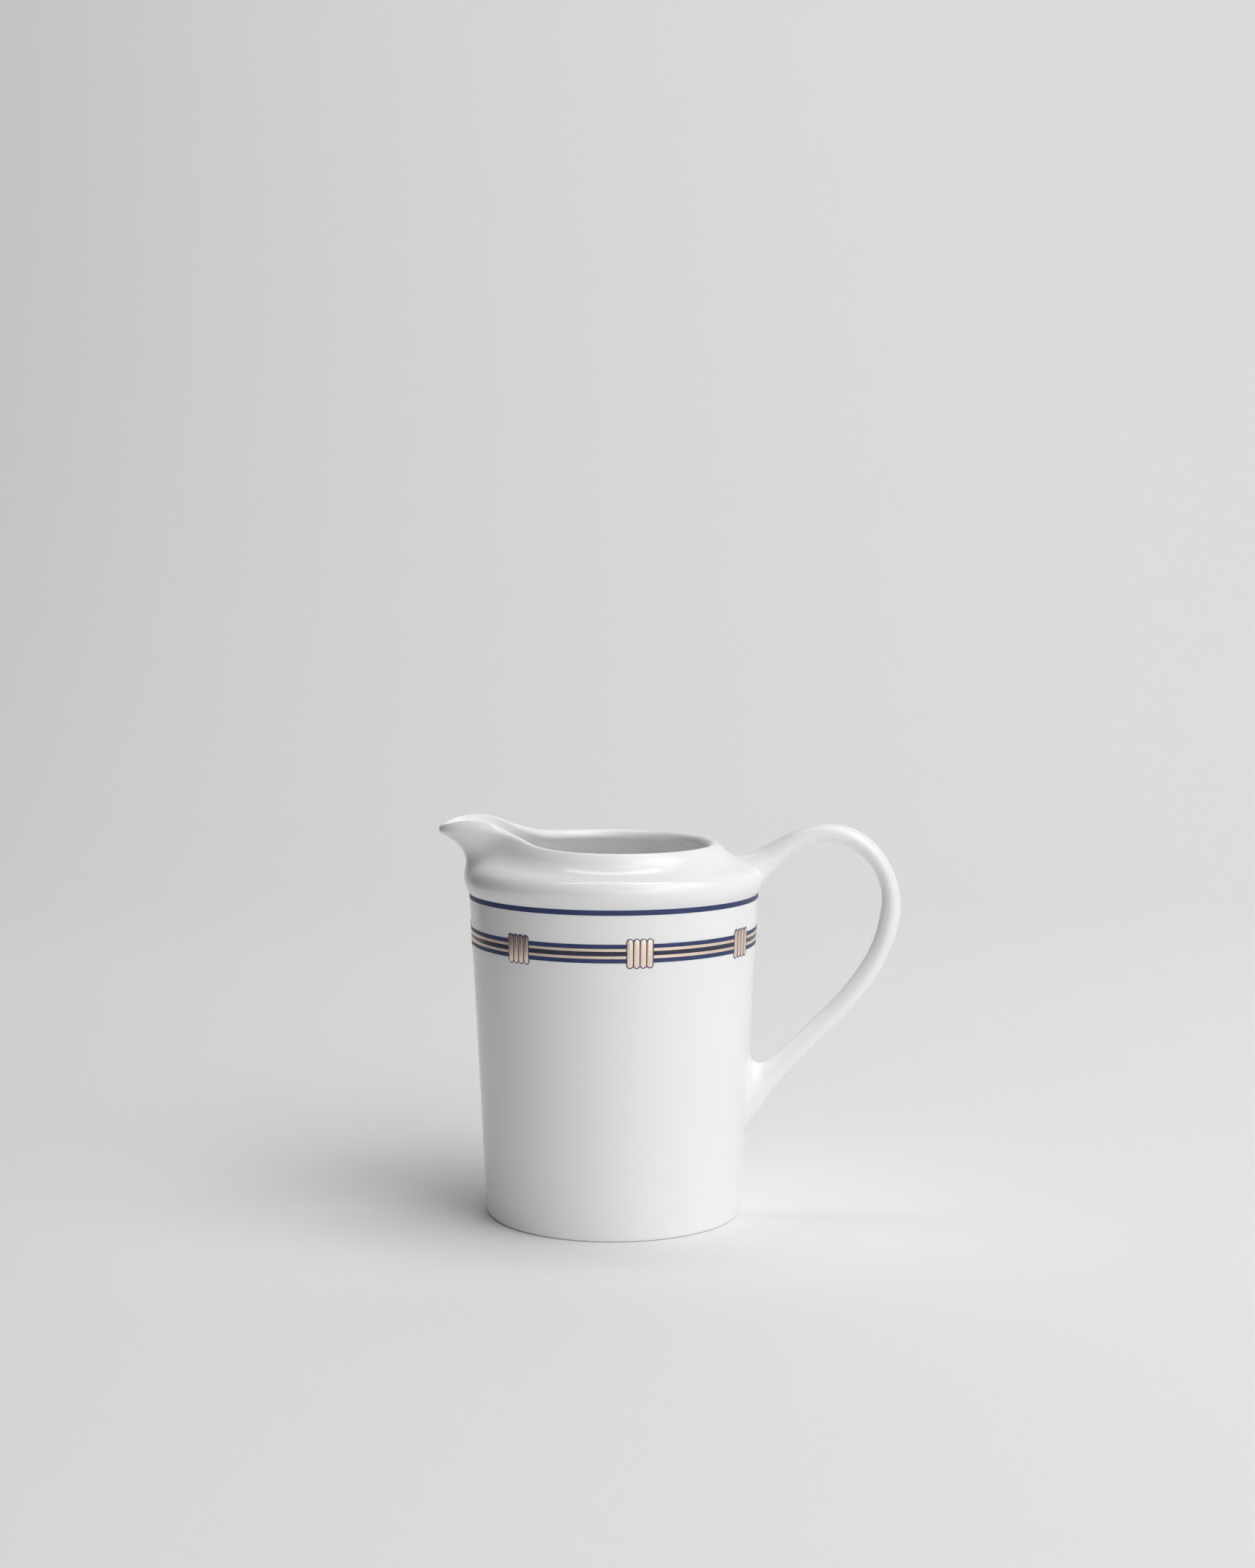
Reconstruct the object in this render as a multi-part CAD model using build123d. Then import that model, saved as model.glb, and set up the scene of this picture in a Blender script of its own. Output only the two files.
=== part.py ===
from build123d import *
from math import atan, cos, hypot, radians, sin
import os

# Porcelain cream jug, in millimetres, +Z up. The origin is the centre of the foot ring on the
# surface that the jug stands on. The handle is towards +X and the pouring lip towards -X, and
# the jug is the same on both sides of the XZ plane.

# ---- body of revolution ----
base_radius = 32.1            # outer radius of the tapered wall, carried down to the table
shoulder_radius = 36.05       # outer radius at the top edge of the tapered wall
shoulder_height = 80.9        # height of that edge
wall = 2.4                    # thickness of the cast wall
floor_thickness = 3.2
floor_corner = 5.0            # radius inside, between wall and floor
foot_recess = 1.5             # how far the underside is raised inside the foot ring
recess_corner = 0.8           # rounding where that underside meets the ring
foot_edge = 0.9               # rounding of the outer bottom edge
foot_ring_width = 2.4         # flat unglazed ring that the jug rests on
foot_ring_edge = 0.5          # rounding of the ring's inner edge

# ---- shoulder bead, neck, mouth and spout ----
bead_bulge = 1.3              # how far the bead stands out past the shoulder edge
bead_rise = 3.5               # height of the bead's widest line above that edge
bead_shares = (0.62, 0.40)    # a point below that line: shares of the bulge and of the rise
neck_inset = 10.15            # from the shoulder edge in to the middle of the rim
mouth_oval = 1.6              # the mouth is this much wider than a circle along Y, and narrower along X
rim_rise = 13.2               # height of the rim above the shoulder edge
rim_width = 3.0               # the wall thickens to this at the rim, but not at the spout
spout_overhang = 6.95         # from the shoulder edge out to where the lip begins to round over
spout_lift = 4.1              # how far the sides of the spout rise above the rim
tip_droop = 1.4               # how far the pouring edge curls down between those sides
spout_half_angle = 17.0       # half-angle of the spout, seen from above
spout_fullness = 4            # how squarely it fills that angle
lift_half_angle = 33.0
lift_fullness = 3.6
droop_half_angle = 14.0
droop_fullness = 3
seat_step = 0.05              # the neck's foot is this much narrower than the wall it stands on

# ---- handle ----
handle_reach = 35.8           # from the tapered wall to the outside of the handle
handle_low = 19.8             # height of the lower end of the lower root
handle_rise = 16.8            # how far the top of the handle is above the shoulder edge
handle_width = 6.4            # across the handle, along Y
root_width = 9.0              # across the roots, where they spread on the body
root_pairs = 3                # the roots spread over this many pairs of outline points
root_burial = 3.0             # how far the roots are carried in before they are cut to the body

# ---- fired-on decoration ----
transfer_thickness = 0.06
line_height = 1.3             # navy line under the shoulder
line_gap = 0.05               # between that line and the shoulder edge
band_gap = 6.9                # from the navy line down to the band
stripe_heights = [1.0, 0.75, 1.0, 0.75, 1.0]
stripe_names = ["stripe_1_navy", "stripe_2_gold", "stripe_3_navy", "stripe_4_gold", "stripe_5_navy"]
clasp_count = 7               # one is under the spout, the others alike on both sides of it
handle_gap = 60.0             # degrees between the two clasps nearest to the handle
bar_count = 4                 # gold bars in one clasp
bar_width = 1.32
bar_height = 6.7
bar_gap = 0.28                # navy line between two bars
clasp_outline = 0.25          # navy line round the outside

mouth_radius = shoulder_radius - neck_inset      # middle of the rim
spout_reach = shoulder_radius + spout_overhang
taper = (shoulder_radius - base_radius) / shoulder_height
wall_across = wall / cos(atan(taper))   # the wall's thickness, measured level


def wall_radius(z):
    """Outer radius of the tapered wall at height z."""
    return base_radius + taper * z


def bump(angle, half_angle, fullness):
    """1 at the spout's middle, 0.5 at half_angle to either side of it, then falling to 0."""
    return 1 / (1 + (abs(angle) / half_angle) ** fullness)


# ---- lower body: foot ring, floor and tapered wall ----
def lower_body():
    top = shoulder_height
    floor_top = foot_recess + floor_thickness
    ring_outer = wall_radius(0)
    ring_inner = ring_outer - foot_edge - foot_ring_width - foot_ring_edge
    outline = [
        (0, foot_recess),
        (ring_inner, foot_recess),
        (ring_inner, 0),
        (ring_outer, 0),
        (shoulder_radius, top),
        (shoulder_radius - wall_across, top),
        (wall_radius(floor_top) - wall_across, floor_top),
        (0, floor_top),
    ]
    section = make_face(Polyline(*outline, close=True))
    corners = {1: recess_corner, 2: foot_ring_edge, 3: foot_edge, 6: floor_corner}
    for index, radius in corners.items():
        spot = Vector(*outline[index])
        corner = section.vertices().sort_by_distance(spot)[0]
        section = fillet(corner, radius)
    return revolve(Plane.XZ * section, Axis.Z, 360)


# ---- upper body: shoulder bead, neck, rim and spout ----
# Each row is one station on the outside of the neck, from the bead up to the rim:
# share of the way in from bead to mouth, share of the way up, share of the way out from bead to
# lip along the spout's keel, and share of the spout's lift.
neck_stations = [
    (0.075, 0.234, -0.03, 0.06),
    (0.256, 0.377, -0.08, 0.20),
    (0.528, 0.519, -0.05, 0.37),
    (0.749, 0.700, 0.12, 0.57),
    (0.889, 0.883, 0.52, 0.77),
    (1.000, 1.000, 1.000, 1.00),
]


def neck_outside(angle):
    """Outer points (radius, height) of the upper body at an angle from the spout's middle."""
    bead_radius = shoulder_radius + bead_bulge
    bead_z = shoulder_height + bead_rise
    rim_edge_radius = mouth_radius + rim_width / 2
    rim_edge_z = shoulder_height + rim_rise - wall / 2
    bead_out, bead_up = bead_shares
    out = bump(angle, spout_half_angle, spout_fullness)
    droop = tip_droop * bump(angle, droop_half_angle, droop_fullness)
    lift = spout_lift * bump(angle, lift_half_angle, lift_fullness) - droop
    points = [
        (shoulder_radius - seat_step, shoulder_height),
        (shoulder_radius + bead_out * bead_bulge, shoulder_height + bead_up * bead_rise),
        (bead_radius, bead_z),
    ]
    for inward, upward, keel, lifted in neck_stations:
        oval = inward * mouth_oval * cos(radians(2 * angle))
        plain = bead_radius + inward * (rim_edge_radius - bead_radius) - oval
        drawn = bead_radius + keel * (spout_reach - bead_radius)
        height = bead_z + upward * (rim_edge_z - bead_z) + lifted * lift
        points.append((plain + out * (drawn - plain), height))
    return points


def neck_section(angle):
    """Closed section of the upper body's wall, in the upright plane at this angle."""
    outside = neck_outside(angle)
    before = neck_outside(angle - 1)
    after = neck_outside(angle + 1)
    inside = []
    for index, (radius, height) in enumerate(outside):
        # The wall is cut on the slant where the spout's side runs outwards, so its section there
        # is longer than the wall is thick.
        swing = (after[index][0] - before[index][0]) / radians(2)
        near_rim = max(0, index - len(outside) + 3) / 2      # 0 up the neck, then 1/2, and 1 at the rim
        thicker = near_rim * (1 - bump(angle, lift_half_angle, lift_fullness)) * (rim_width - wall)
        across = (wall + thicker) * hypot(1, swing / radius)
        low = outside[max(index - 1, 0)]
        high = outside[min(index + 1, len(outside) - 1)]
        run, rise = high[0] - low[0], high[1] - low[1]
        length = hypot(run, rise)
        if index == 0:
            inside.append((radius - wall_across + 2 * seat_step, height))
        else:
            inside.append((radius - across * rise / length, height + across * run / length))
    end_in, end_out = inside[-1], outside[-1]
    forward = Vector(run, rise).normalized()
    middle = Vector((end_in[0] + end_out[0]) / 2, (end_in[1] + end_out[1]) / 2)
    half = Vector(*end_out) - middle
    rim = []
    for turn in (0, 45, 90, 135, 180):
        rim.append(middle + half * cos(radians(turn)) + forward * (wall / 2) * sin(radians(turn)))
    outer_line = Spline(outside)
    rim_line = Spline(rim, tangents=[forward, forward * -1])
    inner_line = Spline(inside[::-1])
    foot_line = Line(inside[0], outside[0])
    section = make_face([outer_line, rim_line, inner_line, foot_line])
    a = radians(180 + angle)
    upright = Plane(origin=(0, 0, 0), x_dir=(cos(a), sin(a), 0), z_dir=(sin(a), -cos(a), 0))
    return upright * section


def upper_body():
    """The wall of the upper body, as two halves that meet on the XZ plane."""
    spacing = 5
    past_middle = 2 * spacing     # carried past the plane and trimmed, so that the halves flow on
    angles = range(-past_middle, 180 + past_middle + 1, spacing)
    sweep = loft([neck_section(angle) for angle in angles])
    side = 4 * shoulder_radius
    half = sweep & Pos(0, -side / 2, shoulder_height) * Box(side, side, side)
    return half, mirror(half, about=Plane.XZ)


# ---- handle ----
# Pairs of points on the outer and inner outline, from the upper root over the top and down to
# the lower root. Each point is (share of the reach out from the tapered wall, climb). The climb
# is 0 at the lower end, 1 level with the shoulder edge and 2 at the top, so the upper root stays
# on the neck and the lower one on the wall.
handle_outline = [
    ((-0.290, 1.434), (-0.070, 0.985)),
    ((-0.172, 1.504), (0.015, 1.040)),
    ((-0.070, 1.573), (0.059, 1.165)),
    ((0.017, 1.652), (0.117, 1.328)),
    ((0.121, 1.773), (0.199, 1.513)),
    ((0.254, 1.912), (0.302, 1.648)),
    ((0.431, 1.995), (0.438, 1.713)),
    ((0.619, 1.944), (0.581, 1.671)),
    ((0.789, 1.726), (0.707, 1.518)),
    ((0.920, 1.374), (0.814, 1.258)),
    ((1.000, 0.973), (0.869, 0.975)),
    ((0.997, 0.852), (0.856, 0.867)),
    ((0.947, 0.743), (0.816, 0.775)),
    ((0.856, 0.632), (0.735, 0.681)),
    ((0.715, 0.519), (0.601, 0.572)),
    ((0.515, 0.397), (0.407, 0.451)),
    ((0.346, 0.289), (0.240, 0.352)),
    ((0.234, 0.215), (0.141, 0.298)),
    ((0.159, 0.149), (0.086, 0.283)),
    ((0.092, 0.085), (0.047, 0.287)),
    ((0.036, 0.042), (0.018, 0.300)),
    ((0.006, 0.010), (0.000, 0.324)),
]


def handle_point(out, climb):
    z = handle_low + min(climb, 1) * (shoulder_height - handle_low) + max(climb - 1, 0) * handle_rise
    return Vector(wall_radius(z) + out * handle_reach, 0, z)


def handle_solid(body):
    sections = []
    last = len(handle_outline) - 1
    for index, (outer, inner) in enumerate(handle_outline):
        outside = handle_point(*outer)
        inside = handle_point(*inner)
        across = outside - inside
        spread = max(0, 1 - min(index, last - index) / root_pairs)
        width = handle_width + (root_width - handle_width) * spread
        plane = Plane(origin=(outside + inside) / 2, x_dir=across, z_dir=across.cross(Vector(0, 1, 0)))
        sections.append(plane * Ellipse(across.length / 2, width / 2))
    # The lower root is carried on into the wall, so that its end follows the taper once cut.
    end = sections[-1].face()
    sections.append(Pos(-root_burial, 0, 0) * end)
    rough = loft(sections)
    cut = rough - body
    return cut.solids().sort_by(SortBy.VOLUME)[-1]


# ---- fired-on decoration ----
def wall_band(low, high):
    """Thin ring lying on the tapered wall between two heights."""
    lift = transfer_thickness
    outline = [
        (wall_radius(low), low),
        (wall_radius(low) + lift, low),
        (wall_radius(high) + lift, high),
        (wall_radius(high), high),
    ]
    return revolve(Plane.XZ * make_face(Polyline(*outline, close=True)), Axis.Z, 360)


line_top = shoulder_height - line_gap
line_bottom = line_top - line_height
band_top = line_bottom - band_gap
band_height = sum(stripe_heights)
band_middle = band_top - band_height / 2
bar_pitch = bar_width + bar_gap
clasp_width = (bar_count - 1) * bar_pitch + bar_width + 2 * clasp_outline
clasp_height = bar_height + 2 * clasp_outline
clasp_reach = shoulder_radius + 5      # long enough to cut through the wall's outside
clasp_pitch = (360 - handle_gap) / (clasp_count - 1)
clasp_angles = [handle_gap / 2 + clasp_pitch * k for k in range(clasp_count)]


def on_wall(shape):
    """Flat shape, drawn with Y up, stood up on the +X side and driven through the wall."""
    facing = Plane(origin=(shoulder_radius / 2, 0, band_middle), x_dir=(0, 1, 0), z_dir=(1, 0, 0))
    return extrude(facing * shape, clasp_reach - shoulder_radius / 2)


def bar_shapes(grow):
    shapes = []
    for index in range(bar_count):
        x = (index - (bar_count - 1) / 2) * bar_pitch
        length = bar_height + 2 * grow
        width = bar_width + 2 * grow
        shapes.append(Pos(x, 0) * SlotOverall(length, width, rotation=90))
    return shapes


def spread_round(solids):
    """Copies of one clasp's solids at every clasp position."""
    copies = []
    for angle in clasp_angles:
        copies += [Rot(0, 0, angle) * solid for solid in solids]
    return copies


def clasp_parts():
    """Gold bars and the navy plate round them, for one clasp on the +X side."""
    skin = wall_band(band_middle - clasp_height, band_middle + clasp_height)
    bars = [(skin & on_wall(shape)).solids()[0] for shape in bar_shapes(0)]
    plate = skin & on_wall(Sketch() + bar_shapes(clasp_outline))
    for bar in bars:
        plate -= bar
    return bars, plate.solids()


def stripes():
    made = []
    gap = on_wall(Rectangle(clasp_width, 2 * clasp_height))
    gaps = [Rot(0, 0, angle) * gap for angle in clasp_angles]
    high = band_top
    for name, height in zip(stripe_names, stripe_heights):
        ring = wall_band(high - height, high)
        made.append((name, (ring - gaps).solids()))
        high -= height
    return made


# ---- assembly ----
def save(name, solids):
    """Write one sub-part to parts/, as one solid or a group of separate ones."""
    solids = list(solids)
    shape = solids[0] if len(solids) == 1 else Compound(children=solids)
    shape.label = name
    export_step(shape, f"parts/{name}.step")
    print(name, len(solids), round(sum(solid.volume for solid in solids), 3))


def main():
    os.makedirs("parts", exist_ok=True)
    left, right = upper_body()
    body = lower_body() + left + right
    save("jug_body", body.solids())
    save("handle", [handle_solid(body)])
    save("shoulder_line", wall_band(line_bottom, line_top).solids())
    for name, solids in stripes():
        save(name, solids)
    bars, plate = clasp_parts()
    save("clasp_bars", spread_round(bars))
    save("clasp_outlines", spread_round(plate))


main()
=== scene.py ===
from math import atan2, cos, hypot, pi, radians, sin
import bmesh
import bpy
from mathutils import Matrix, Vector
from mathutils.bvhtree import BVHTree


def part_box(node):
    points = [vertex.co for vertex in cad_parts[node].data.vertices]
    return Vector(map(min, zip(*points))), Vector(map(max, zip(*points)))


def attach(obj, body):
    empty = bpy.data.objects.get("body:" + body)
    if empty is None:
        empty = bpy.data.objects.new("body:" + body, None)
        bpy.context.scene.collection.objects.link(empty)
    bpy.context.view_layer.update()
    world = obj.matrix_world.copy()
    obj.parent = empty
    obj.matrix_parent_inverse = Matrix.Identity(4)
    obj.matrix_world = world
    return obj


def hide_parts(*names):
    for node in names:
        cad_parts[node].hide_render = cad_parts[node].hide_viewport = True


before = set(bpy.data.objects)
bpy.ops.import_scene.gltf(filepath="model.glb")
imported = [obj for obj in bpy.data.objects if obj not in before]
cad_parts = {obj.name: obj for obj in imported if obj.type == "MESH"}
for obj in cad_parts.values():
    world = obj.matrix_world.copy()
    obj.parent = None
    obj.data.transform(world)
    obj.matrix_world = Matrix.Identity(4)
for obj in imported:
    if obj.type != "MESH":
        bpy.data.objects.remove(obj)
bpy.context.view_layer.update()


# ---- camera ----
# A normal lens a little above the rim, looking along +Y and slightly down at the jug, which
# stands low in the frame with open space above it.
mm = 0.001
camera_tilt = 0.0859
camera_turn = -0.0059
camera_data = bpy.data.cameras.new("camera")
camera_data.sensor_fit = "VERTICAL"
camera_data.sensor_height = 36
camera_data.lens = 53.43
camera = bpy.data.objects.new("camera", camera_data)
camera.location = (0, -577.8 * mm, 157.3 * mm)
camera.rotation_euler = (pi / 2 - camera_tilt, 0, camera_turn)
bpy.context.scene.collection.objects.link(camera)
bpy.context.scene.camera = camera
bpy.context.scene.view_settings.view_transform = "Standard"
bpy.context.scene.cycles.diffuse_bounces = 10


# ---- studio: paper sweep and lights ----
# A roll of pale grey paper, lying flat under the jug and curving up far behind it. Large soft
# boxes stand to the right, in front and overhead, so the left of the jug falls into shade.
def link(name, bm):
    """Turn a finished bmesh into an object at the origin, shaded smooth except at hard edges."""
    for face in bm.faces:
        face.smooth = True
    mesh = bpy.data.meshes.new(name)
    bm.to_mesh(mesh)
    bm.free()
    mesh.set_sharp_from_angle(angle=radians(40))
    piece = bpy.data.objects.new(name, mesh)
    bpy.context.scene.collection.objects.link(piece)
    return piece


def new_material(name):
    """A node material with a Principled BSDF, returned with its nodes, links and shader."""
    material = bpy.data.materials.new(name)
    material.use_nodes = True
    nodes = material.node_tree.nodes
    return material, nodes, material.node_tree.links, nodes["Principled BSDF"]


bm = bmesh.new()
sweep_half_width = 2.2
sweep_front = -1.6
sweep_flat_to = 0.55
sweep_bend = 0.9
sweep_top = 3.2
bend_steps = 16
edge_line = [(sweep_front, 0), (sweep_flat_to, 0)]
for step in range(1, bend_steps + 1):
    turn = radians(90) * step / bend_steps
    edge_line.append((sweep_flat_to + sweep_bend * sin(turn), sweep_bend * (1 - cos(turn))))
edge_line.append((sweep_flat_to + sweep_bend, sweep_top))
row = [bm.verts.new((-sweep_half_width, y, z)) for y, z in edge_line]
edges = [bm.edges.new(pair) for pair in zip(row, row[1:])]
grown = bmesh.ops.extrude_edge_only(bm, edges=edges)
moved = [item for item in grown["geom"] if isinstance(item, bmesh.types.BMVert)]
bmesh.ops.translate(bm, verts=moved, vec=(2 * sweep_half_width, 0, 0))
bmesh.ops.recalc_face_normals(bm, faces=bm.faces)
sweep = link("paper_sweep", bm)
paper, nodes, links, shader = new_material("sweep_paper")
grain = nodes.new("ShaderNodeTexNoise")
grain.inputs["Scale"].default_value = 900
grain.inputs["Detail"].default_value = 4
place = nodes.new("ShaderNodeTexCoord")
links.new(place.outputs["Object"], grain.inputs["Vector"])
tint = nodes.new("ShaderNodeValToRGB")
tint.color_ramp.elements[0].color = (0.890, 0.890, 0.890, 1)
tint.color_ramp.elements[1].color = (0.920, 0.920, 0.920, 1)
links.new(grain.outputs["Fac"], tint.inputs["Fac"])
links.new(tint.outputs["Color"], shader.inputs["Base Color"])
shader.inputs["Roughness"].default_value = 0.8
sweep.data.materials.append(paper)


jug_middle = (0, 0, 0.05)
panel = (1.4, 1.26)


def soft_box(name, place, target, size, watts):
    """A rectangular area light at a place, turned to face a target."""
    data = bpy.data.lights.new(name, "AREA")
    data.shape = "RECTANGLE"
    data.size, data.size_y = size
    data.energy = watts
    lamp = bpy.data.objects.new(name, data)
    lamp.location = place
    lamp.rotation_euler = (Vector(target) - Vector(place)).to_track_quat("-Z", "Y").to_euler()
    bpy.context.scene.collection.objects.link(lamp)


soft_box("front_panel", (0.42, -1.58, 0.81), jug_middle, panel, 4.5)
soft_box("front_right_panel", (0.97, -1.39, 0.67), jug_middle, panel, 6.6)
soft_box("right_panel", (1.19, -1.0, 0.95), jug_middle, panel, 2.6)
soft_box("high_right_panel", (1.1, -0.64, 1.32), jug_middle, panel, 8.3)
soft_box("overhead_panel", (0.73, -0.2, 1.68), jug_middle, panel, 9.4)
soft_box("side_panel", (1.2, 0.44, 1.32), jug_middle, panel, 0.6)
soft_box("back_panel", (0.2, 1.0, 1.6), jug_middle, (1.6, 1.0), 1.2)
soft_box("sweep_wash", (0, 0.35, 1.9), (0, 1.45, 0.4), (1.4, 0.5), 7.2)
# A black card stands beside the jug, out of the camera's view, and keeps light off its left side.
card_middle = (-0.31, -0.20, 0.35)
card_half_length = 0.5
card_shape = (0.68, 1, 1, 1)
upright = Matrix.Translation(card_middle) @ Matrix.Rotation(radians(90), 4, "Y")
bm = bmesh.new()
bmesh.ops.create_grid(bm, size=card_half_length, x_segments=1, y_segments=1,
                      matrix=upright @ Matrix.Diagonal(card_shape))
card = link("black_card", bm)
card.visible_camera = False
felt, nodes, links, shader = new_material("black_felt")
fuzz = nodes.new("ShaderNodeTexNoise")
fuzz.inputs["Scale"].default_value = 400
dark = nodes.new("ShaderNodeValToRGB")
dark.color_ramp.elements[0].color = (0.010, 0.010, 0.010, 1)
dark.color_ramp.elements[1].color = (0.020, 0.020, 0.020, 1)
links.new(fuzz.outputs["Fac"], dark.inputs["Fac"])
links.new(dark.outputs["Color"], shader.inputs["Base Color"])
shader.inputs["Roughness"].default_value = 0.95
card.data.materials.append(felt)
world = bpy.data.worlds.new("studio")
bpy.context.scene.world = world
world.use_nodes = True
background = world.node_tree.nodes["Background"]
background.inputs["Color"].default_value = (1, 1, 1, 1)
background.inputs["Strength"].default_value = 0.01


# ---- cast body ----
# One slip casting in hard white porcelain: a thin foot ring, a straight tapered wall, a soft bead
# at the shoulder and a hollow neck that closes in to a rolled rim, with the lip drawn out into a
# spout. It is glazed all over, except for the bare, matt, creamy face that stands on the table.
def glaze_ripple_group():
    """The faint unevenness of a poured glaze, and broad clouds in its whiteness."""
    group = bpy.data.node_groups.new("glaze ripple", "ShaderNodeTree")
    group.interface.new_socket("Scale", in_out="INPUT", socket_type="NodeSocketFloat")
    group.interface.new_socket("Height", in_out="OUTPUT", socket_type="NodeSocketFloat")
    group.interface.new_socket("Cloud", in_out="OUTPUT", socket_type="NodeSocketFloat")
    nodes = group.nodes
    enter = nodes.new("NodeGroupInput")
    leave = nodes.new("NodeGroupOutput")
    place = nodes.new("ShaderNodeTexCoord")
    broad = nodes.new("ShaderNodeTexNoise")
    broad.inputs["Detail"].default_value = 2
    group.links.new(place.outputs["Object"], broad.inputs["Vector"])
    group.links.new(enter.outputs["Scale"], broad.inputs["Scale"])
    cloud = nodes.new("ShaderNodeTexNoise")
    cloud.inputs["Scale"].default_value = 22
    cloud.inputs["Detail"].default_value = 3
    group.links.new(place.outputs["Object"], cloud.inputs["Vector"])
    group.links.new(broad.outputs["Fac"], leave.inputs["Height"])
    group.links.new(cloud.outputs["Fac"], leave.inputs["Cloud"])
    return group


glaze_ripple = glaze_ripple_group()
porcelain, nodes, links, shader = new_material("glazed_porcelain")
ripple = nodes.new("ShaderNodeGroup")
ripple.node_tree = glaze_ripple
ripple.inputs["Scale"].default_value = 160
bump = nodes.new("ShaderNodeBump")
bump.inputs["Strength"].default_value = 0.05
bump.inputs["Distance"].default_value = 0.2 * mm
links.new(ripple.outputs["Height"], bump.inputs["Height"])
links.new(bump.outputs["Normal"], shader.inputs["Normal"])
glazed = nodes.new("ShaderNodeValToRGB")
glazed.color_ramp.elements[0].position = 0.3
glazed.color_ramp.elements[0].color = (0.905, 0.905, 0.907, 1)
glazed.color_ramp.elements[1].position = 0.7
glazed.color_ramp.elements[1].color = (0.930, 0.930, 0.928, 1)
links.new(ripple.outputs["Cloud"], glazed.inputs["Fac"])
# Below bare_to the glaze was wiped off the foot, and it is whole again above glazed_from.
bare_to = 0.05 * mm
glazed_from = 0.12 * mm
place = nodes.new("ShaderNodeTexCoord")
axes = nodes.new("ShaderNodeSeparateXYZ")
links.new(place.outputs["Object"], axes.inputs["Vector"])
bare = nodes.new("ShaderNodeMapRange")
bare.inputs["From Min"].default_value = glazed_from
bare.inputs["From Max"].default_value = bare_to
links.new(axes.outputs["Z"], bare.inputs["Value"])
colour = nodes.new("ShaderNodeMix")
colour.data_type = "RGBA"
links.new(bare.outputs["Result"], colour.inputs["Factor"])
links.new(glazed.outputs["Color"], colour.inputs["A"])
colour.inputs["B"].default_value = (0.70, 0.665, 0.60, 1)
links.new(colour.outputs["Result"], shader.inputs["Base Color"])
rough = nodes.new("ShaderNodeMapRange")
rough.inputs["To Min"].default_value = 0.15
rough.inputs["To Max"].default_value = 0.75
links.new(bare.outputs["Result"], rough.inputs["Value"])
links.new(rough.outputs["Result"], shader.inputs["Roughness"])
shader.inputs["IOR"].default_value = 1.52
shader.inputs["Subsurface Weight"].default_value = 0.15
shader.inputs["Subsurface Radius"].default_value = (1.0, 0.95, 0.9)
shader.inputs["Subsurface Scale"].default_value = 2.5 * mm

# The sizes below are in millimetres, from the axis and from the table.
line_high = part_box("shoulder_line")[1]
print_thickness = 0.06
line_gap = 0.05
shoulder_radius = line_high.x / mm - print_thickness
shoulder_height = line_high.z / mm + line_gap
base_radius = 32.1
taper = (shoulder_radius - base_radius) / shoulder_height
wall = 2.4
foot_recess = 1.5
floor_thickness = 3.2
floor_top = foot_recess + floor_thickness


def wall_radius(z):
    return base_radius + taper * z


def spread(angle, half_angle, power):
    """1 at the spout's middle, a half at half_angle on either side, and 0 far from it."""
    return 1 / (1 + (abs(angle) / half_angle) ** power)


def curve_through(points, cuts):
    """Points along a smooth curve through the given (radius, height) points."""
    points = [Vector(point) for point in points]
    ends = [2 * points[0] - points[1], *points, 2 * points[-1] - points[-2]]
    made = []
    for a, b, c, d in zip(ends, ends[1:], ends[2:], ends[3:]):
        for cut in range(cuts):
            t = cut / cuts
            made.append(0.5 * (2 * b + (c - a) * t + (2 * a - 5 * b + 4 * c - d) * t ** 2
                               + (3 * b - a - 3 * c + d) * t ** 3))
    return made + [points[-1]]


# Stations up the neck: share of the way in from bead to mouth, share of the way up, share of
# the way out along the spout's keel, and share of the spout's lift.
neck_stations = [
    (0.075, 0.234, -0.03, 0.06),
    (0.256, 0.377, -0.08, 0.20),
    (0.528, 0.519, -0.05, 0.37),
    (0.749, 0.700, 0.12, 0.57),
    (0.889, 0.883, 0.52, 0.77),
    (1.000, 1.000, 1.000, 1.00),
]
bead_bulge = 1.3
bead_rise = 3.5
bead_foot = (0.8, 1.4)
bead_radius = shoulder_radius + bead_bulge
bead_height = shoulder_height + bead_rise
mouth_radius = 25.9
mouth_oval = 1.6
rim_width = 3.0
rim_rise = 13.2
rim_edge_height = shoulder_height + rim_rise - wall / 2
spout_reach = 43.0
spout_spread = (17, 4)
lift_spread = (33, 3.6)
droop_spread = (14, 3)
spout_lift = 4.07
tip_droop = 1.4
cuts_between = 3


def neck_outside(angle):
    out = spread(angle, *spout_spread)
    lift = spout_lift * spread(angle, *lift_spread) - tip_droop * spread(angle, *droop_spread)
    points = [(shoulder_radius, shoulder_height),
              (shoulder_radius + bead_foot[0], shoulder_height + bead_foot[1]),
              (bead_radius, bead_height)]
    for inward, upward, keel, lifted in neck_stations:
        plain = bead_radius + inward * (mouth_radius + rim_width / 2 - bead_radius)
        plain -= inward * mouth_oval * cos(radians(2 * angle))
        drawn = bead_radius + keel * (spout_reach - bead_radius)
        height = bead_height + upward * (rim_edge_height - bead_height) + lifted * lift
        points.append((plain + out * (drawn - plain), height))
    return curve_through(points, cuts_between)


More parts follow.
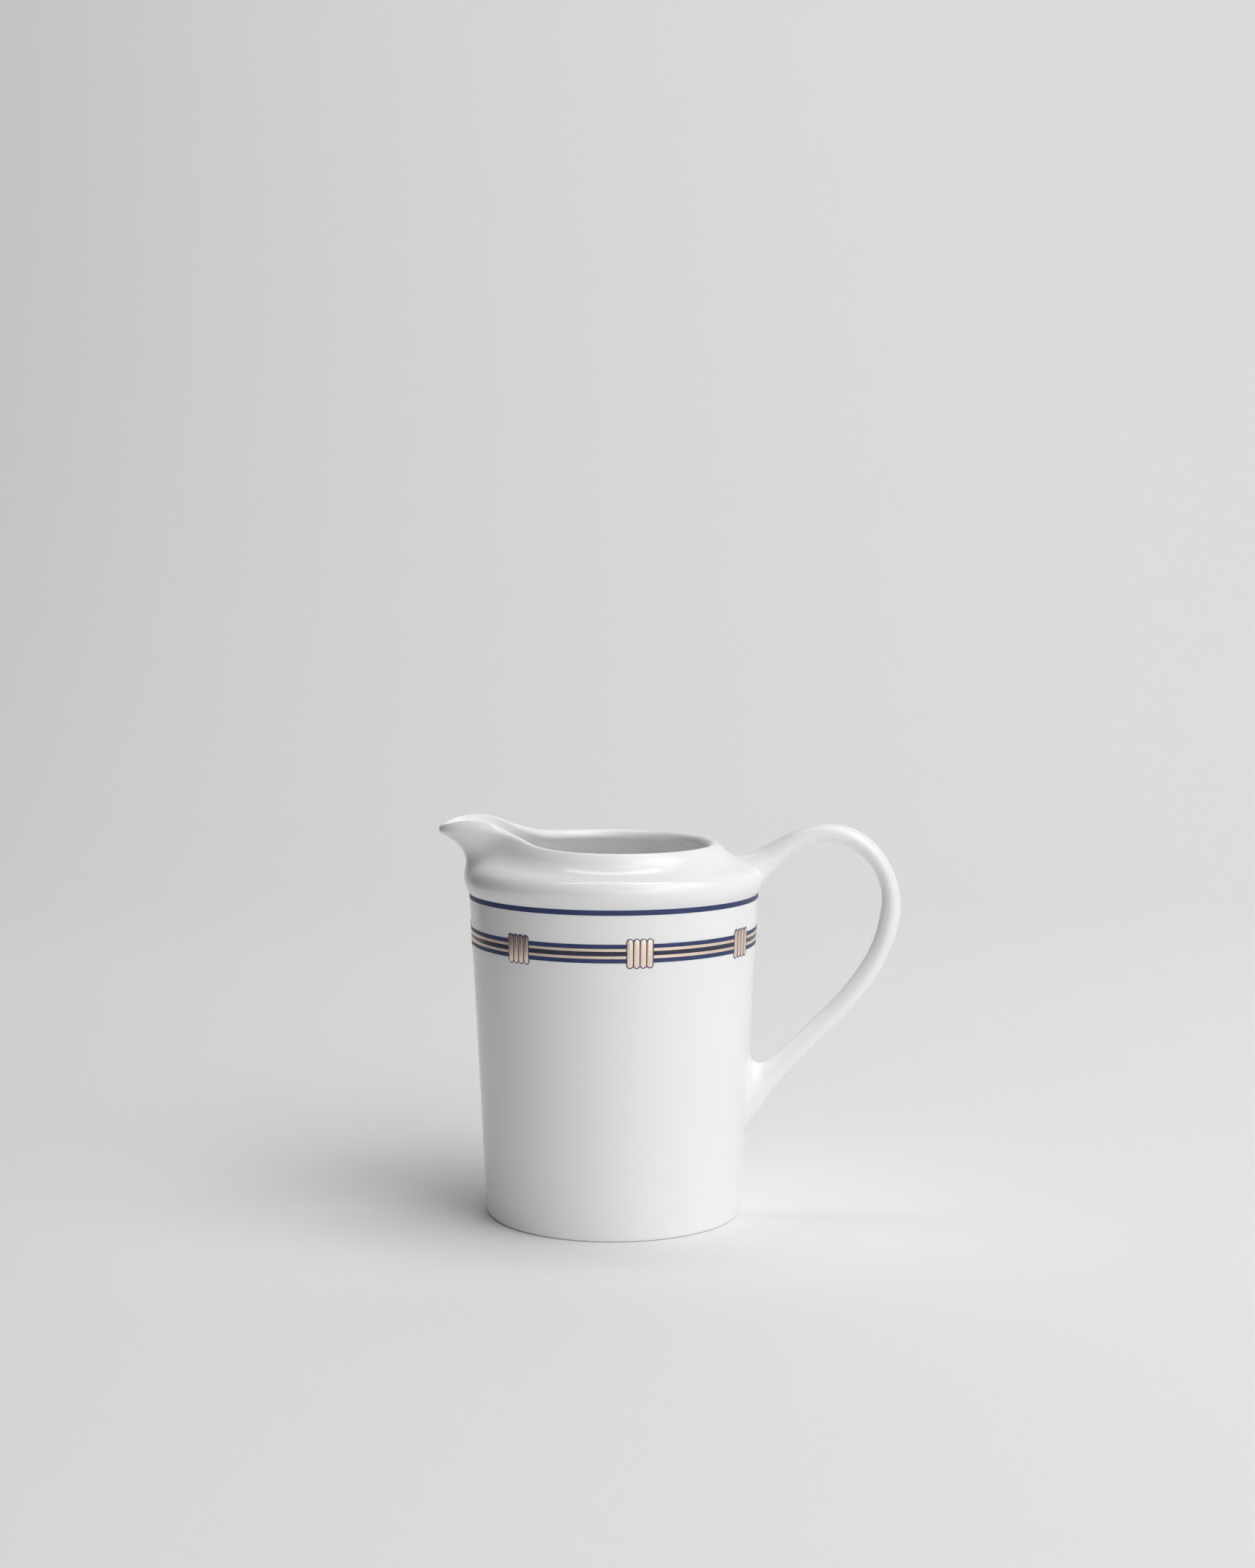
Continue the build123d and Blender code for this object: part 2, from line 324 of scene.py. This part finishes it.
def neck_wall(angle):
    """The neck's section at an angle from the spout: up the outside, over the rim, down inside."""
    outside = neck_outside(angle)
    before, after = neck_outside(angle - 0.5), neck_outside(angle + 0.5)
    inside = []
    for index, point in enumerate(outside):
        swing = (after[index].x - before[index].x) / radians(1)
        # the wall thickens over the last two stations, but not at the spout
        near_rim = max(0, index - len(outside) + 1 + 2 * cuts_between) / (2 * cuts_between)
        thicker = near_rim * (1 - spread(angle, *lift_spread)) * (rim_width - wall)
        thick = (wall + thicker) * hypot(1, swing / point.x)
        along = outside[min(index + 1, len(outside) - 1)] - outside[max(index - 1, 0)]
        along.normalize()
        inside.append(point + thick * Vector((-along.y, along.x)))
    middle = (outside[-1] + inside[-1]) / 2
    half = outside[-1] - middle
    rim = []
    for turn in range(20, 180, 20):
        rim.append(middle + half * cos(radians(turn)) + along * (wall / 2) * sin(radians(turn)))
    return outside + rim + inside[::-1]


foot = [(radius, foot_recess) for radius in (0, 9, 18, 25, 27.3)]
foot += [(27.9, 1.40), (28.2, 1.0), (28.3, 0.5), (28.4, 0.15), (28.75, 0.0), (29.6, 0.0),
         (30.6, 0.0), (31.25, 0.0), (31.7, 0.12), (32.0, 0.42), (wall_radius(1.0), 1.0)]
tapered = [(wall_radius(z), z) for z in (2, 5, 12, 22, 32, 42, 52, 60, 66, 70, 74, 77, 79, 80.3)]
lining = [(wall_radius(z) - wall, z) for z in (79, 76, 70, 60, 50, 40, 30, 20, 13, 10)]
corner_radius = 5
corner = wall_radius(floor_top) - wall - corner_radius
basin = []
for turn in (75, 60, 45, 30, 15, 0):
    across, up = sin(radians(turn)), 1 - cos(radians(turn))
    basin.append((corner + corner_radius * across, floor_top + corner_radius * up))
basin += [(corner * share, floor_top) for share in (0.8, 0.55, 0.3, 0)]
neck_start = len(foot) + len(tapered)
back_wall = neck_wall(180)
profile = foot + tapered + back_wall + lining + basin

body_steps = 168
crowding = 0.42
on_axis = 0.001
bm = bmesh.new()
station = bm.verts.layers.int.new("station")
chain = []
for index, (radius, height) in enumerate(profile):
    corner_vert = bm.verts.new((radius, 0, height))
    corner_vert[station] = index
    chain.append(corner_vert)
edges = [bm.edges.new(pair) for pair in zip(chain, chain[1:])]
bmesh.ops.spin(bm, geom=chain + edges, cent=(0, 0, 0), axis=(0, 0, 1), angle=2 * pi,
               steps=body_steps, use_merge=True)
bmesh.ops.remove_doubles(bm, verts=bm.verts, dist=0.0005)
# The neck's rings are drawn out to the spout, and the lines up the wall crowd towards it.
walls = {}
for vert in bm.verts:
    radius = hypot(vert.co.x, vert.co.y)
    if radius < on_axis:
        continue
    turn = atan2(vert.co.y, -vert.co.x)
    turn -= crowding * sin(turn)
    height = vert.co.z
    step = vert[station] - neck_start
    if 0 <= step < len(back_wall):
        degrees_round = round(turn * 180 / pi, 4)
        if degrees_round not in walls:
            walls[degrees_round] = neck_wall(degrees_round)
        radius, height = walls[degrees_round][step]
    vert.co = (-radius * cos(turn), radius * sin(turn), height)
bmesh.ops.scale(bm, vec=(mm, mm, mm), verts=bm.verts)
bmesh.ops.recalc_face_normals(bm, faces=bm.faces)
body_tree = BVHTree.FromBMesh(bm)
body = link("jug_casting", bm)
finer = body.modifiers.new("finer", "SUBSURF")
finer.levels = 1
finer.render_levels = 1
body.data.materials.append(porcelain)
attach(body, "root")
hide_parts("jug_body")


# ---- handle ----
# Cast apart from the body and stuck on with slip: an oval strap that rises from the neck, goes
# over in a tall loop and comes back low on the wall, where its root trails downwards.
handle_reach = 35.8
handle_low = 19.8
handle_rise = 16.8
handle_width = 6.4
root_width = 9.0
root_pairs = 3
ring_segments = 32
# Pairs of points on its outer and inner edge: share of the reach out from the tapered wall, and
# climb, which is 0 at the lower end, 1 level with the shoulder edge and 2 at the top.
handle_outline = [
    ((-0.290, 1.434), (-0.070, 0.985)),
    ((-0.172, 1.504), (0.015, 1.040)),
    ((-0.070, 1.573), (0.059, 1.165)),
    ((0.017, 1.652), (0.117, 1.328)),
    ((0.121, 1.773), (0.199, 1.513)),
    ((0.254, 1.912), (0.302, 1.648)),
    ((0.431, 1.995), (0.438, 1.713)),
    ((0.619, 1.944), (0.581, 1.671)),
    ((0.789, 1.726), (0.707, 1.518)),
    ((0.920, 1.374), (0.814, 1.258)),
    ((1.000, 0.973), (0.869, 0.975)),
    ((0.997, 0.852), (0.856, 0.867)),
    ((0.947, 0.743), (0.816, 0.775)),
    ((0.856, 0.632), (0.735, 0.681)),
    ((0.715, 0.519), (0.601, 0.572)),
    ((0.515, 0.397), (0.407, 0.451)),
    ((0.346, 0.289), (0.240, 0.352)),
    ((0.234, 0.215), (0.141, 0.298)),
    ((0.159, 0.149), (0.086, 0.283)),
    ((0.092, 0.085), (0.047, 0.287)),
    ((0.036, 0.042), (0.018, 0.300)),
    ((0.006, 0.010), (0.000, 0.324)),
]


def handle_point(out, climb):
    z = handle_low + min(climb, 1) * (shoulder_height - handle_low)
    z += max(climb - 1, 0) * handle_rise
    return Vector((wall_radius(z) + out * handle_reach, 0, z))


outline_rows = []
for outer, inner in handle_outline:
    outline_rows.append((*handle_point(*outer).xz, *handle_point(*inner).xz))
rings = curve_through(outline_rows, cuts_between)
bm = bmesh.new()
loops = [bmesh.ops.create_circle(bm, segments=ring_segments, radius=1)["verts"]]
flat_ring = [vert.co.copy() for vert in loops[0]]
edges = bm.edges[:]
for ring in rings[1:]:
    grown = bmesh.ops.extrude_edge_only(bm, edges=edges)["geom"]
    fresh = {item for item in grown if isinstance(item, bmesh.types.BMVert)}
    edges = [item for item in grown
             if isinstance(item, bmesh.types.BMEdge) and fresh.issuperset(item.verts)]
    # the new ring's corners, in the order of those that they grew from
    corners = []
    for vert in loops[-1]:
        around = [edge.other_vert(vert) for edge in vert.link_edges]
        corners.append(next(other for other in around if other in fresh))
    loops.append(corners)
last = len(loops) - 1
for index, (loop, (out_x, out_z, in_x, in_z)) in enumerate(zip(loops, rings)):
    outside, inside = Vector((out_x, 0, out_z)), Vector((in_x, 0, in_z))
    rooted = max(0, 1 - min(index, last - index) / (cuts_between * root_pairs))
    width = handle_width + (root_width - handle_width) * rooted
    for vert, flat in zip(loop, flat_ring):
        vert.co = (outside + inside) / 2 + (outside - inside) / 2 * flat.x
        vert.co.y = width / 2 * flat.y
# Each end is laid on the body. Its last ring is sunk just under the surface, and the few before
# it spread out over the surface, as the slip that sticks the handle on. Each row is a ring's
# place from the end, its height off the surface and how much wider it is.
slip = [(0, -0.9, 1.10), (1, 0.15, 1.10), (2, 0.9, 1.03)]
arm_ring = 5
for end in (loops, loops[::-1]):
    arm = [vert.co.copy() for vert in end[arm_ring]]
    for index, off, flare in slip:
        middle = sum((vert.co for vert in end[index]), Vector()) / len(end[index])
        for vert, start in zip(end[index], arm):
            aim = (middle + (vert.co - middle) * flare - start).normalized()
            hit = body_tree.ray_cast(start * mm, aim)[0]
            if hit is not None:
                vert.co = hit / mm - aim * off
bmesh.ops.scale(bm, vec=(mm, mm, mm), verts=bm.verts)
bmesh.ops.recalc_face_normals(bm, faces=bm.faces)
handle = link("jug_handle", bm)
finer = handle.modifiers.new("finer", "SUBSURF")
finer.levels = 1
finer.render_levels = 1
handle.data.materials.append(porcelain)
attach(handle, "root")
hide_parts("handle")


# ---- navy shoulder line ----
# A line of cobalt enamel printed all the way round the wall, just under the shoulder, and fired
# on: a skin a few hundredths of a millimetre thick, with its edges worn down to nothing.
def enamel(name, dark, light, roughness):
    """Fired enamel: its colour is a little uneven, as it was laid on by screen printing."""
    material, nodes, links, shader = new_material(name)
    place = nodes.new("ShaderNodeTexCoord")
    patches = nodes.new("ShaderNodeTexNoise")
    patches.inputs["Scale"].default_value = 260
    patches.inputs["Detail"].default_value = 5
    links.new(place.outputs["Object"], patches.inputs["Vector"])
    tint = nodes.new("ShaderNodeValToRGB")
    tint.color_ramp.elements[0].position = 0.35
    tint.color_ramp.elements[0].color = (*dark, 1)
    tint.color_ramp.elements[1].position = 0.65
    tint.color_ramp.elements[1].color = (*light, 1)
    links.new(patches.outputs["Fac"], tint.inputs["Fac"])
    links.new(tint.outputs["Color"], shader.inputs["Base Color"])
    shader.inputs["Roughness"].default_value = roughness
    return material


cobalt = enamel("cobalt_enamel", (0.018, 0.034, 0.120), (0.026, 0.046, 0.150), 0.45)
hoop_steps = 360


def add_hoop(bm, low, high, start=0, turn=360):
    """Spin a thin skin on the tapered wall between two heights, from one angle through a turn."""
    section = [(0, low), (print_thickness, low + print_thickness),
               (print_thickness, high - print_thickness), (0, high)]
    chain = []
    for out, z in section:
        reach = wall_radius(z) + out
        chain.append(bm.verts.new((reach * cos(radians(start)), reach * sin(radians(start)), z)))
    edges = [bm.edges.new(pair) for pair in zip(chain, chain[1:])]
    bmesh.ops.spin(bm, geom=chain + edges, cent=(0, 0, 0), axis=(0, 0, 1), angle=radians(turn),
                   steps=round(hoop_steps * turn / 360), use_merge=turn == 360)


def printed(name, bm, material, node):
    """Finish a piece of the decoration, which replaces one CAD node."""
    bmesh.ops.scale(bm, vec=(mm, mm, mm), verts=bm.verts)
    bmesh.ops.recalc_face_normals(bm, faces=bm.faces)
    piece = link(name, bm)
    piece.data.materials.append(material)
    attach(piece, "root")
    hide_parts(node)


line_height = 1.3
line_bottom = shoulder_height - line_gap - line_height
bm = bmesh.new()
add_hoop(bm, line_bottom, line_bottom + line_height)
printed("navy_line", bm, cobalt, "shoulder_line")


# ---- band of five stripes ----
# Three navy stripes with two narrower gold ones between them, printed edge to edge as one band
# round the wall and left out behind each clasp. The middle navy was printed a shade darker.
midnight = enamel("midnight_enamel", (0.016, 0.019, 0.050), (0.022, 0.026, 0.066), 0.28)
lustre, nodes, links, shader = new_material("rose_gold_lustre")
place = nodes.new("ShaderNodeTexCoord")
flakes = nodes.new("ShaderNodeTexNoise")
flakes.inputs["Scale"].default_value = 1500
flakes.inputs["Detail"].default_value = 3
links.new(place.outputs["Object"], flakes.inputs["Vector"])
tint = nodes.new("ShaderNodeValToRGB")
tint.color_ramp.elements[0].position = 0.3
tint.color_ramp.elements[0].color = (0.92, 0.73, 0.60, 1)
tint.color_ramp.elements[1].position = 0.7
tint.color_ramp.elements[1].color = (1.0, 0.83, 0.70, 1)
links.new(flakes.outputs["Fac"], tint.inputs["Fac"])
links.new(tint.outputs["Color"], shader.inputs["Base Color"])
bump = nodes.new("ShaderNodeBump")
bump.inputs["Strength"].default_value = 0.1
bump.inputs["Distance"].default_value = 0.02 * mm
links.new(flakes.outputs["Fac"], bump.inputs["Height"])
links.new(bump.outputs["Normal"], shader.inputs["Normal"])
shader.inputs["Metallic"].default_value = 1.0
shader.inputs["Roughness"].default_value = 0.34

band_gap = 6.9
stripe_rows = [
    ("stripe_1_navy", 1.0, cobalt, "navy_enamel"),
    ("stripe_2_gold", 0.75, lustre, "gold_lustre"),
    ("stripe_3_navy", 1.0, midnight, "navy_enamel"),
    ("stripe_4_gold", 0.75, lustre, "gold_lustre"),
    ("stripe_5_navy", 1.0, cobalt, "navy_enamel"),
]
clasp_count = 7
handle_gap = 60
clasp_pitch = (360 - handle_gap) / (clasp_count - 1)
clasp_angles = [handle_gap / 2 + clasp_pitch * index for index in range(clasp_count)]
bar_count = 4
bar_width = 1.32
bar_gap = 0.28
outline_width = 0.25
band_top = line_bottom - band_gap
band_middle = band_top - sum(row[1] for row in stripe_rows) / 2
bar_pitch = bar_width + bar_gap
clasp_width = (bar_count - 1) * bar_pitch + bar_width + 2 * outline_width
clasp_turn = clasp_width / wall_radius(band_middle) * 180 / pi
top = band_top
for name, height, material, slot in stripe_rows:
    bm = bmesh.new()
    for here, after in zip(clasp_angles, clasp_angles[1:] + [360 + clasp_angles[0]]):
        add_hoop(bm, top - height, top, here + clasp_turn / 2, after - here - clasp_turn)
    printed(name + "_print", bm, material, name)
    top -= height


# ---- clasps ----
# Seven clasps that hold the band, each four upright gold bars with round ends. They are printed
# in gold lustre over a navy ground, which shows as a thin line round every bar.
bar_height = 6.7
bar_segments = 24
crown_slope = 3
bar_crown = 0.7


def add_capsule(bm, across, grow, rise, crown):
    """Lay one round-ended bar on the wall at every clasp, raised by its rise and its crown."""
    straight = (bar_height - bar_width) / 2
    shape = bmesh.new()
    half_step = Matrix.Rotation(pi / bar_segments, 4, "Z")
    bmesh.ops.create_circle(shape, cap_ends=True, segments=bar_segments,
                            radius=bar_width / 2 + grow, matrix=half_step)
    for vert in shape.verts:
        vert.co.y += straight if vert.co.y > 0 else -straight
    grown = bmesh.ops.extrude_face_region(shape, geom=shape.faces[:])["geom"]
    tops = [item for item in grown if isinstance(item, bmesh.types.BMFace)]
    bmesh.ops.translate(shape, verts=tops[0].verts[:], vec=(0, 0, rise))
    bmesh.ops.inset_region(shape, faces=tops, thickness=crown * crown_slope, depth=crown)
    base = [(vert.co.x + across, vert.co.y, vert.co.z) for vert in shape.verts]
    for angle in clasp_angles:
        for vert, (x, y, z) in zip(shape.verts, base):
            turn = radians(angle) + x / wall_radius(band_middle)
            reach = wall_radius(band_middle + y) + z
            vert.co = (reach * cos(turn), reach * sin(turn), band_middle + y)
        mesh = bpy.data.meshes.new("bar")
        shape.to_mesh(mesh)
        bm.from_mesh(mesh)
        bpy.data.meshes.remove(mesh)
    shape.free()


bars = bmesh.new()
ground = bmesh.new()
for index in range(bar_count):
    across = (index - (bar_count - 1) / 2) * bar_pitch
    add_capsule(ground, across, outline_width, print_thickness / 2, print_thickness / 2)
    add_capsule(bars, across, 0, print_thickness, print_thickness * bar_crown)
printed("clasp_ground_print", ground, cobalt, "clasp_outlines")
printed("clasp_bars_print", bars, lustre, "clasp_bars")
